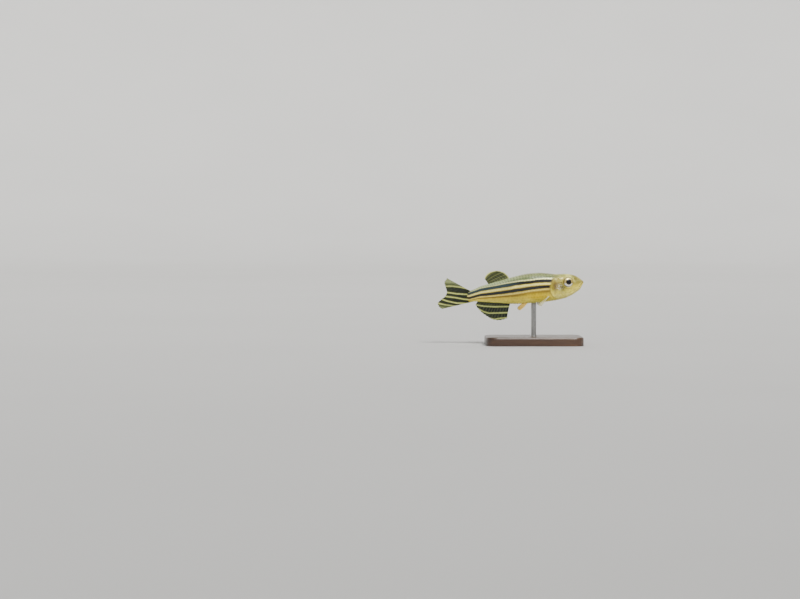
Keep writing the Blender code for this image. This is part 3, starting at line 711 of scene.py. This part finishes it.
# The scales: rows round the body, a scale's length along its row, and its own grid, along by across. It
# reaches over the next: its root is sunk, its round rear edge raised, its sides low, and no two lie alike.
SCALE_ROWS = 26
SCALE_LENGTH = 0.84
SCALE_REACH = 1.75
SCALE_ROOT = 0.28
SCALE_WIDTH = 0.7
ROOT_SINK, EDGE_RISE, SIDE_FALL, UNEVEN = 0.055, 0.105, 0.035, 0.005
EDGE_THICKNESS, ROOT_EXTRA = 0.016, 0.02
SHOULDER = 0.46
SCALE_CELLS = 8
across_shares = np.sin(np.linspace(-1, 1, SCALE_CELLS + 1) * np.pi / 2)
rounded_shares = SHOULDER + (1 - SHOULDER) * np.sin(np.linspace(0.0, np.pi / 2, 6))
along_shares = np.concatenate([[0.0, 0.22, 0.4], rounded_shares])
scale_u, scale_v = np.meshgrid(along_shares, across_shares, indexing="ij")
# The bake's map holds a patch of this size for each scale's top, underside and rim, side by side. A scale's
# front, hidden under the one before it, gets little of the patch.
PATCH, PATCH_STEP = 0.0034, 1.35
HIDDEN_SHARE, HIDDEN_PATCH = 0.4, 0.15


def scale_widths():
    """The half width at each point of a scale's grid, as a share of the widest."""
    rounded = np.sqrt(np.clip(1 - ((scale_u - SHOULDER) / (1 - SHOULDER)) ** 2, 0, 1))
    return np.where(scale_u < SHOULDER, 0.85 + 0.15 * smooth(scale_u, 0, SHOULDER), np.maximum(rounded, 0.03))


def scale_patches(top, under, rim):
    """The bake's map over one scale's faces, about its root's place."""
    spread = np.interp(scale_u, (0, HIDDEN_SHARE, 1), (0, HIDDEN_PATCH, 1))
    grid = np.stack([spread - 0.5, scale_v / 2], -1).reshape(-1, 2)
    grids = np.concatenate([grid, grid])
    steps = np.linspace(-0.5, 0.5, len(rim) + 1)
    along = np.stack([steps[1:], steps[:-1], steps[:-1], steps[1:]], -1)
    strip = np.stack([along, np.broadcast_to([0.5, 0.5, -0.5, -0.5], along.shape)], -1)
    return PATCH * np.concatenate([grids[top], grids[under] + (PATCH_STEP, 0), strip - (PATCH_STEP, 0)])


# The ring of the body round which the rows are spaced.
RING_DISTANCE, RING_POINTS = 14.0, 721
ring_turns = np.linspace(0, 2 * np.pi, RING_POINTS)
ring_steps = np.linalg.norm(np.diff(body(np.full(RING_POINTS, RING_DISTANCE), ring_turns), axis=0), axis=1)
ring_arc = np.concatenate([[0], np.cumsum(ring_steps)])


def turn_at(share):
    """The turn at a share of the way round the body, measured on the skin."""
    return np.interp(share, ring_arc / ring_arc[-1], ring_turns)


def scale_spacing(at):
    """The way from one scale to the next in its row, shorter toward the tail and never quite even."""
    return SCALE_LENGTH * (1 - 0.3 * smooth(at, 19, 32)) * (1 + 0.05 * rng.standard_normal())


def make_scale(at, spacing, share, widths):
    """(points, masks) of one scale, a closed plate: its top's grid and then its underside's."""
    d = np.maximum(at + (scale_u - SCALE_ROOT) * spacing * SCALE_REACH, 0.5)
    turns = turn_at(np.clip(share + scale_v * widths * SCALE_WIDTH / SCALE_ROWS, 0.0, 1.0))
    h = body_height(d, turns)
    lift = -ROOT_SINK + EDGE_RISE * scale_u**1.2 - SIDE_FALL * scale_v**2 + UNEVEN * rng.standard_normal()
    ahead_of_gill = gill_at(np.clip(h, -2.9, 3.4)) - d
    lift = lift * (1 - 0.35 * smooth(at, 24, 32)) - 0.1 * smooth(ahead_of_gill, -0.1, 0.35) + swelling(d, h)
    outward = body_normal(d, turns)
    top = body(d, turns) + outward * lift[..., None]
    underside = top - outward * (EDGE_THICKNESS + ROOT_EXTRA * (1 - scale_u))[..., None]
    rim = np.stack([scale_u, np.abs(scale_v), np.full_like(scale_u, rng.random())], -1)
    return joined(top, underside), [joined(mask, mask) for mask in (*paint_masks(d, h), rim)]


def row_start(share):
    """Where a row's first scale stands: at the gill opening, or behind the head on the back."""
    h = float(body_height(np.array([9.0]), turn_at(np.array([share])))[0])
    return float(gill_at(min(h, 2.7))) + 0.02 if h < 3.2 else 7.4 + 0.2 * (4.6 - h)


def make_scales():
    """Overlapping scales in staggered rows from the gill opening to the tail, one piece for each side."""
    widths = scale_widths()
    plate = plate_faces(*scale_u.shape)
    faces, patches = np.concatenate(plate), scale_patches(*plate)
    for side in ("left", "right"):
        made = []
        for row in range(SCALE_ROWS // 2):
            share = (row + 0.5) / SCALE_ROWS
            share = share if side == "left" else 1 - share
            at = row_start(share) - (0.0 if row % 2 else SCALE_LENGTH / 2)
            while at < BODY_END - 0.1:
                spacing = scale_spacing(at)
                made.append((*make_scale(at, spacing, share, widths), (along_map(at), share)))
                at += spacing
        points, masks, roots = zip(*made)
        starts = np.arange(len(points)) * len(points[0])
        all_faces = (faces[None] + starts[:, None, None]).reshape(-1, 4)
        all_places = (patches[None] + np.array(roots)[:, None, None]).reshape(-1, 4, 2)
        if side == "left":
            all_faces, all_places = all_faces[:, ::-1], all_places[:, ::-1]
        all_masks = dict(zip(("lie", "tone", "mark", "rim"), (np.concatenate(rows) for rows in zip(*masks))))
        mesh_object(
            f"scales_{side}", np.concatenate(points), all_faces, all_masks, skin_paint,
            places=all_places)


# The fins: the roots and tips of the first to the last ray as (distance, offset, height), the bow of the
# first ray, the count of rays and the rows along them.
FINS = {
    "dorsal_fin": dict(
        roots=((21.2, 0.0, 2.7), (24.2, 0.0, 1.9), (27.2, 0.0, 1.1)),
        tips=((25.6, 0.1, 5.42), (27.2, 0.15, 5.0), (28.2, 0.15, 4.2), (28.6, 0.1, 3.2)),
        bow=(-0.55, 0.0, 0.75), rays=9, rows=70),
    "anal_fin": dict(
        roots=((21.0, 0.0, -3.4), (25.6, 0.0, -3.2), (30.2, 0.0, -3.0)),
        tips=((22.1, -0.1, -8.4), (24.1, -0.2, -8.95), (26.2, -0.2, -8.7), (27.7, -0.2, -7.95),
              (29.3, -0.1, -6.8), (30.6, 0.0, -5.4), (31.2, 0.0, -4.35)),
        bow=(0.15, 0.0, 0.0), rays=14, rows=80),
    "caudal_fin": dict(
        roots=((32.5, 0.0, -0.55), (32.3, 0.0, -2.1), (32.5, 0.0, -3.7)),
        tips=((39.5, 0.1, 3.3), (40.25, 0.05, 2.2), (40.0, 0.0, 1.0), (39.65, 0.0, -0.2), (39.6, 0.0, -1.1),
              (40.2, 0.0, -2.2), (41.3, 0.05, -3.1), (42.2, 0.1, -4.0), (41.9, 0.15, -5.1),
              (41.0, 0.2, -5.8)),
        bow=(0.0, 0.0, 0.0), rays=19, rows=90),
    "pelvic_fin": dict(
        roots=((15.9, 0.75, -3.3), (16.3, 0.6, -3.3), (16.7, 0.45, -3.3)),
        tips=((18.5, 1.75, -6.0), (19.0, 1.55, -5.8), (19.1, 1.25, -5.4), (18.9, 0.95, -5.0)),
        bow=(-0.15, 0.1, -0.15), rays=8, rows=50),
    "pectoral_fin": dict(
        roots=((9.9, 1.85, -1.75), (10.15, 1.55, -2.1), (10.4, 1.2, -2.4)),
        tips=((12.4, 4.9, -4.65), (13.0, 4.8, -4.6), (13.35, 4.4, -4.4), (13.3, 3.85, -4.15),
              (12.9, 3.2, -3.95)),
        bow=(0.1, 0.25, 0.1), rays=10, rows=60),
}
RAY_STEPS = 16
MEMBRANE = 0.055
RAY_RISE = 0.075
ROOT_SWELL = 0.16
MARGIN_NOTCH = 0.022
SUNK_ROOT = -0.07
RAY_JOINTS = 26
# The light lines over the tail and anal fins, from the top one down, as (distance, height).
CAUDAL_LINES = (
    ((32.8, 0.0), (35.4, 0.62), (37.9, 0.9), (40.3, 0.85)),
    ((31.9, -1.45), (34.1, -1.45), (36.6, -1.3), (39.8, -0.88)),
    ((32.0, -3.05), (34.6, -2.84), (37.0, -2.42), (40.6, -1.98)),
    ((33.2, -4.1), (36.6, -4.02), (39.3, -3.45), (41.7, -2.66)),
    ((33.5, -5.0), (36.6, -4.95), (39.8, -4.55), (42.0, -4.1)),
)
ANAL_LINES = (
    ((20.8, -4.88), (25.7, -5.0), (28.8, -4.85), (31.2, -4.45)),
    ((21.0, -6.62), (24.9, -6.8), (27.4, -6.85), (28.8, -6.45), (30.6, -5.5)),
    ((21.5, -8.1), (24.1, -8.35), (25.7, -8.62), (27.4, -8.3), (29.0, -7.6)),
)


def bands(d, h, lines, light_width, outer, reach):
    """How far into a light line and a dark band each place is; outer is the dark past the end lines."""
    levels = [np.interp(d, *zip(*line)) for line in lines]
    light, dark = np.zeros_like(d), np.zeros_like(d)
    for level in levels:
        light = np.maximum(light, hill(h - level, light_width))
    for high, low in zip(levels, levels[1:]):
        dark = np.maximum(dark, smooth(high - h, 0.05, 0.25) * smooth(h - low, 0.05, 0.25))
    for past in (h - levels[0], levels[-1] - h):
        dark = np.maximum(dark, outer * smooth(past, 0.05, 0.25) * (1 - smooth(past, reach, reach + 0.8)))
    return light, dark * (1 - light)


def fin_bands(name, d, h, u, t):
    """(light, dark, how solid) over a fin: u runs from its first ray to its last, t from root to margin."""
    if name == "caudal_fin":
        light, dark = bands(d, h, CAUDAL_LINES, 0.17, outer=0.75, reach=0.5)
        light = light * (1 - 0.65 * smooth(-h, 4.2, 4.9)) * (1 - 0.35 * smooth(h, 0.2, 0.9))
        solid = 0.62 + 0.38 * np.maximum(light, dark)
    elif name == "anal_fin":
        light, dark = bands(d, h, ANAL_LINES, 0.16, outer=0.95, reach=1.5)
        solid = 0.6 + 0.4 * np.maximum(light, dark)
        light = 0.35 * light
    elif name == "dorsal_fin":
        arcs = 0.12 * hill(((t * 4.2) % 1.0) - 0.5, 0.16) * smooth(t, 0.2, 0.4)
        light = np.maximum(0.9 * (1 - smooth(u, 0.0, 0.07)) + arcs, 0.95 * smooth(t, 0.88, 0.93))
        dark = 0.9 * smooth(t, 0.1, 0.3) * (1 - light)
        solid = 0.66 + 0.3 * np.maximum(light, dark)
    elif name == "pelvic_fin":
        light, dark = 0.9 * (1 - smooth(u, 0.0, 0.12)) + 0.2 * (1 - t), 0.1 * t
        solid = 0.62 + 0.25 * light
    else:
        light, dark = 0.8 * (1 - smooth(u, 0.0, 0.1)) + 0.15 * (1 - t), 0.25 * t
        solid = 0.3 + 0.4 * light
    return np.clip(light, 0, 1), np.clip(dark, 0, 1), np.clip(solid, 0, 1)


def ray_ridges(name, u, t, rays):
    """The rays over the membrane, from 0 to 1: each soft ray forks twice toward the margin and is jointed."""
    phase = u * (rays - 1)
    nearest = np.round(phase)
    off = phase - nearest
    width = 0.13 - 0.055 * t
    first_fork, second_fork = 0.2 * smooth(t, 0.38, 0.95), 0.085 * smooth(t, 0.68, 1.0)
    single = hill(off, width)
    forked = np.zeros_like(u)
    for side in (-1, 1):
        for twig in (-1, 1):
            forked = np.maximum(forked, hill(off - side * first_fork - twig * second_fork, width * 0.8))
    soft = np.maximum(forked, single * (1 - smooth(t, 0.35, 0.5)))
    stiff_rays = 0 if name == "caudal_fin" else 2
    line = np.where(nearest < stiff_rays, single, soft)
    joint = hill(((t * RAY_JOINTS + 0.37 * nearest) % 1.0) - 0.5, 0.14)
    return line * (1 - 0.3 * joint * smooth(t, 0.25, 0.35))


def fin_place(shape, side):
    """Places on a fin's middle sheet by u and t, in the fish's own measures and in the model's."""
    root_path, tip_path = path_through(shape["roots"]), path_through(shape["tips"])
    bow = np.array(shape["bow"])

    def place(u, t):
        point = root_path(u) * (1 - t)[..., None] + tip_path(u) * t[..., None]
        point = point + bow * ((1 - u) ** 2 * 4 * t * (1 - t))[..., None]
        return point, world(point[..., 0], side * point[..., 1], point[..., 2])

    return place


def sheet_normal(place, u, t):
    step = 0.01
    along = place(u, t + step)[1] - place(u, t - step)[1]
    across = place(np.minimum(u + step, 1), t)[1] - place(np.maximum(u - step, 0), t)[1]
    return unit(np.cross(along, across))


def make_fin(name, side, material, node):
    """A closed sheet with raised rays, a rippled membrane between them and a worn, notched margin."""
    shape = FINS[name]
    spaces = shape["rays"] - 1
    us = np.linspace(0, 1, spaces * RAY_STEPS + 1)
    between = np.sin(np.pi * us * spaces) ** 2
    worn = np.interp(us * spaces, np.arange(spaces + 1), rng.random(spaces + 1)) * (us > 0) * (us < 1)
    reach = 1 - MARGIN_NOTCH * (between + 0.7 * worn)
    u, share = np.meshgrid(us, np.linspace(SUNK_ROOT, 1, shape["rows"]), indexing="ij")
    t = share * reach[:, None]
    place = fin_place(shape, side)
    own, centre = place(u, t)
    normal = sheet_normal(place, u, t)
    line = ray_ridges(name, u, np.maximum(t, 0), spaces + 1)
    half = MEMBRANE * (1 - 0.55 * smooth(t, 0.5, 1)) + RAY_RISE * line * (1 - 0.65 * smooth(t, 0.25, 1.0))
    half = (half + ROOT_SWELL * (1 - smooth(t, 0.0, 0.3))) * (1 - 0.75 * smooth(share, 0.97, 1.0))
    ripple = 0.05 * between[:, None] * smooth(t, 0.3, 1.0) - 0.025
    front = centre + normal * (ripple + half)[..., None]
    rear = centre + normal * (ripple - half)[..., None]
    light, dark, solid = fin_bands(name, own[..., 0], own[..., 2], u, t)
    solid = np.clip(solid + 0.28 * line + 0.6 * (1 - smooth(t, 0.0, 0.22)), 0, 1)
    band, rim = np.stack([line, dark, light], -1), np.stack([solid, t, u], -1)
    faces = np.concatenate(plate_faces(*u.shape))[:, ::-1]
    mesh_object(
        node + "_rayed", joined(front, rear), faces, {"band": joined(band, band), "rim": joined(rim, rim)},
        material, (node,))


def make_fins():
    striped = fin_material("fin_striped", (0.24, 0.28, 0.09), (0.01, 0.013, 0.01), (0.6, 0.62, 0.17))
    olive = fin_material("fin_olive", (0.11, 0.13, 0.028), (0.015, 0.021, 0.005), (0.72, 0.74, 0.22))
    warm = fin_material("fin_warm", (0.6, 0.4, 0.08), (0.2, 0.14, 0.04), (0.85, 0.64, 0.16))
    pale = fin_material("fin_pale", (0.58, 0.54, 0.24), (0.22, 0.2, 0.08), (0.86, 0.8, 0.36))
    make_fin("dorsal_fin", 1, olive, "dorsal_fin")
    make_fin("anal_fin", 1, striped, "anal_fin")
    make_fin("caudal_fin", 1, striped, "caudal_fin")
    for side, ending in SIDES:
        make_fin("pelvic_fin", side, warm, "pelvic_fin_" + ending)
        make_fin("pectoral_fin", side, pale, "pectoral_fin_" + ending)


# Eyes, barbels and stand

EYE_RINGS, EYE_SIDES = 56, 96


def make_eye(side, ending, material):
    """A flattened ball with a slightly raised lens and a groove round the pupil."""
    aim = unit(np.array((EYE_AIM[0], side * EYE_AIM[1], EYE_AIM[2])))
    level = unit(np.cross((0, 0, 1), aim))
    upright = np.cross(aim, level)
    polar = np.linspace(0.02, np.pi - 0.02, EYE_RINGS)[:, None]
    turn = turns_round(EYE_SIDES)[None, :]
    in_front = polar < np.pi / 2
    reach = np.sin(polar) * np.ones_like(turn)
    lens = in_front * (0.05 * hill(reach, 0.5) - 0.02 * hill(reach - PUPIL_SHARE, 0.05))
    points = (world(EYE[0], side * EYE_OFFSET, EYE[1])
              + aim * (EYE_DEPTH * np.cos(polar) + lens)[..., None]
              + level * (EYE_RADIUS * reach * np.cos(turn))[..., None]
              + upright * (EYE_RADIUS * reach * np.sin(turn))[..., None])
    lie = np.stack(
        [np.where(in_front, reach, 1.0), 0.5 + 0.5 * reach * np.sin(turn), np.zeros_like(reach)], -1)
    mesh_object(
        f"eye_{ending}_glossy", joined(points, points[0].mean(0), points[-1].mean(0)),
        ring_triangles(EYE_RINGS, EYE_SIDES)[:, ::-1], {"lie": joined(lie, (0, 0.5, 0), (1, 0.5, 0))},
        material, (f"eye_{ending}",))


def make_eyes():
    material = eye_material()
    for side, ending in SIDES:
        make_eye(side, ending, material)


def make_tube(name, places, radii, sides, material, covers, masks):
    """A closed tube along places, with the same mask all over."""
    along = unit(np.gradient(places, axis=0))
    level = unit(np.cross(along, (0.0, 1.0, 0.05)))
    upright = np.cross(level, along)
    turn = turns_round(sides)
    rings = (places[:, None] + level[:, None] * (radii[:, None] * np.cos(turn))[..., None]
             + upright[:, None] * (radii[:, None] * np.sin(turn))[..., None])
    points = joined(rings, places[0], places[-1])
    triangles = ring_triangles(len(places), sides)
    one, two, three = (points[triangles[:, k]] for k in range(3))
    if np.einsum("ij,ij->", one, np.cross(two, three)) < 0:
        triangles = triangles[:, ::-1]
    masks = {key: np.tile(np.array(value), (len(points), 1)) for key, value in masks.items()}
    mesh_object(name, points, triangles, masks, material, covers)


# The paths of the jaw barbel and the short nose barbel as (distance, offset, height), and their root radii.
BARBEL = ((1.55, 1.2, 0.62), (2.2, 1.75, 0.05), (3.1, 2.2, -0.65), (4.0, 2.45, -1.15))
NOSE_BARBEL = ((0.75, 0.85, 1.95), (1.15, 1.22, 1.72), (1.7, 1.5, 1.35), (2.25, 1.72, 1.05))
BARBEL_RADIUS, NOSE_BARBEL_RADIUS = 0.16, 0.09
BARBEL_RINGS, BARBEL_SIDES = 30, 10
PLAIN = (0.0, 0.0, 0.0)


def make_barbel(name, path, radius, side, covers):
    masks = {"lie": (0.1, 0.7, 0.0), "tone": PLAIN, "mark": PLAIN, "rim": PLAIN}
    shares = np.linspace(0, 1, BARBEL_RINGS)
    own = path_through(path)(shares)
    places = world(own[:, 0], side * own[:, 1], own[:, 2])
    make_tube(name, places, radius * (1 - 0.8 * shares), BARBEL_SIDES, skin_paint, covers, masks)


def make_barbels():
    for side, ending in SIDES:
        make_barbel(f"barbel_{ending}_fine", BARBEL, BARBEL_RADIUS, side, (f"barbel_{ending}",))
        make_barbel(f"nose_barbel_{ending}_fine", NOSE_BARBEL, NOSE_BARBEL_RADIUS, side, ())


ROD_RINGS, ROD_SIDES = 91, 48


def make_stand():
    """Wood on the base, and a turned rod: a ferrule in the base's socket and a top within the belly."""
    base = frame["nodes"]["stand_base"]
    base.data.materials.clear()
    base.data.materials.append(wood_material())
    base_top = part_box("stand_base")[1].z / MM
    low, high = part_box("stand_rod")
    radius = (high.x - low.x) / 2 / MM
    bottom, top = low.z / MM, high.z / MM
    profile = (
        (bottom + 0.02, 1.2), (bottom + 0.08, 1.3), (base_top + 0.08, 1.3), (base_top + 0.16, 1.22),
        (base_top + 0.18, 1.02), (base_top + 0.3, 1.0), (top - 1.2, 1.0), (top - 0.3, 0.98),
        (top + 0.3, 0.82), (top + 0.5, 0.6))
    levels, widths = (np.interp(np.linspace(0, 1, ROD_RINGS), np.linspace(0, 1, len(profile)), row)
                      for row in zip(*profile))
    middle = (low + high) / 2 / MM
    places = np.stack([np.full(ROD_RINGS, middle.x), np.full(ROD_RINGS, middle.y), levels], -1)
    make_tube(
        "stand_rod_turned", places, radius * widths, ROD_SIDES, steel_material(), ("stand_rod",), {})


# Stage, light and camera

# The camera sees the fish at the photograph's scale and place: the datum over the base is at this pixel.
FRAME_SIZE = (800, 599)
DATUM_PIXEL = (533.7, 289.5)
MM_PER_PIXEL = 0.289
LENS = 100.0
SENSOR = 36.0
CAMERA_RISE = 2.0
# The floor is flat to this radius in metres and then curves up, round a bowl of this height.
FLOOR_RADIUS, BOWL_HEIGHT, FLOOR_EDGE = 1.2, 0.8, 2.0
FLOOR_RINGS, BOWL_RINGS, FLOOR_SIDES = 20, 24, 96


def make_stage():
    bowl = np.linspace(0, np.pi / 2, BOWL_RINGS)[1:]
    radii = np.concatenate([
        np.linspace(0.0, FLOOR_RADIUS, FLOOR_RINGS)[1:],
        FLOOR_RADIUS + (FLOOR_EDGE - FLOOR_RADIUS) * np.sin(bowl), [FLOOR_EDGE]])[:, None]
    levels = np.concatenate([
        np.zeros(FLOOR_RINGS - 1), BOWL_HEIGHT * (1 - np.cos(bowl)), [2 * BOWL_HEIGHT]])[:, None]
    turn = turns_round(FLOOR_SIDES)
    rings = np.stack([radii * np.cos(turn), radii * np.sin(turn), levels * np.ones(FLOOR_SIDES)], -1)
    # The last ring stays open, so the triangles that would close it are left out.
    triangles = ring_triangles(len(radii), FLOOR_SIDES)[:-FLOOR_SIDES, ::-1]
    mesh = bpy.data.meshes.new("floor")
    mesh.from_pydata(joined(rings, (0, 0, 0)).tolist(), [], triangles.tolist())
    mesh.shade_smooth()
    floor = new_object("floor", mesh)
    p = Paint("pale_floor")
    tint = p.ramp(p.noise(9, 2), (0.3, (0.475, 0.475, 0.47)), (0.7, (0.49, 0.49, 0.485)))
    p.set(Base_Color=tint, Roughness=0.9)
    mesh.materials.append(p.made)


def sun(name, direction, strength, angle, colour=(1, 1, 1)):
    light = bpy.data.lights.new(name, "SUN")
    light.energy, light.angle, light.color = strength, angle, colour
    new_object(name, light).rotation_euler = Vector(direction).to_track_quat("-Z", "Y").to_euler()


def make_light():
    bpy.context.scene.world = studio = bpy.data.worlds.new("studio")
    studio.use_nodes = True
    background = studio.node_tree.nodes["Background"]
    background.inputs["Color"].default_value = (1.0, 0.99, 0.97, 1.0)
    background.inputs["Strength"].default_value = 0.62
    sun("key", (-0.35, 0.9, -0.95), 5.6, 0.45, (1.0, 0.985, 0.95))
    sun("fill", (0.9, 0.7, -0.4), 1.2, 0.8)
    sun("rim", (0.2, -1.0, -0.8), 1.7, 0.6)


def make_camera():
    data = bpy.data.cameras.new("camera")
    data.lens, data.sensor_width, data.sensor_fit = LENS, SENSOR, "HORIZONTAL"
    data.clip_start, data.clip_end = 0.01, 10.0
    camera = new_object("camera", data)
    camera.rotation_euler = (math.radians(90 - CAMERA_RISE), 0, 0)
    middle = (FRAME_SIZE[0] / 2 - DATUM_PIXEL[0], DATUM_PIXEL[1] - FRAME_SIZE[1] / 2)
    back = FRAME_SIZE[0] * LENS / SENSOR
    away = Vector((*middle, back)) * MM_PER_PIXEL * MM
    camera.location = Vector((0, 0, DATUM_HEIGHT * MM)) + camera.rotation_euler.to_matrix() @ away
    bpy.context.scene.camera = camera


make_camera()
make_stage()
make_light()
make_skin()
make_scales()
make_fins()
make_eyes()
make_barbels()
make_stand()
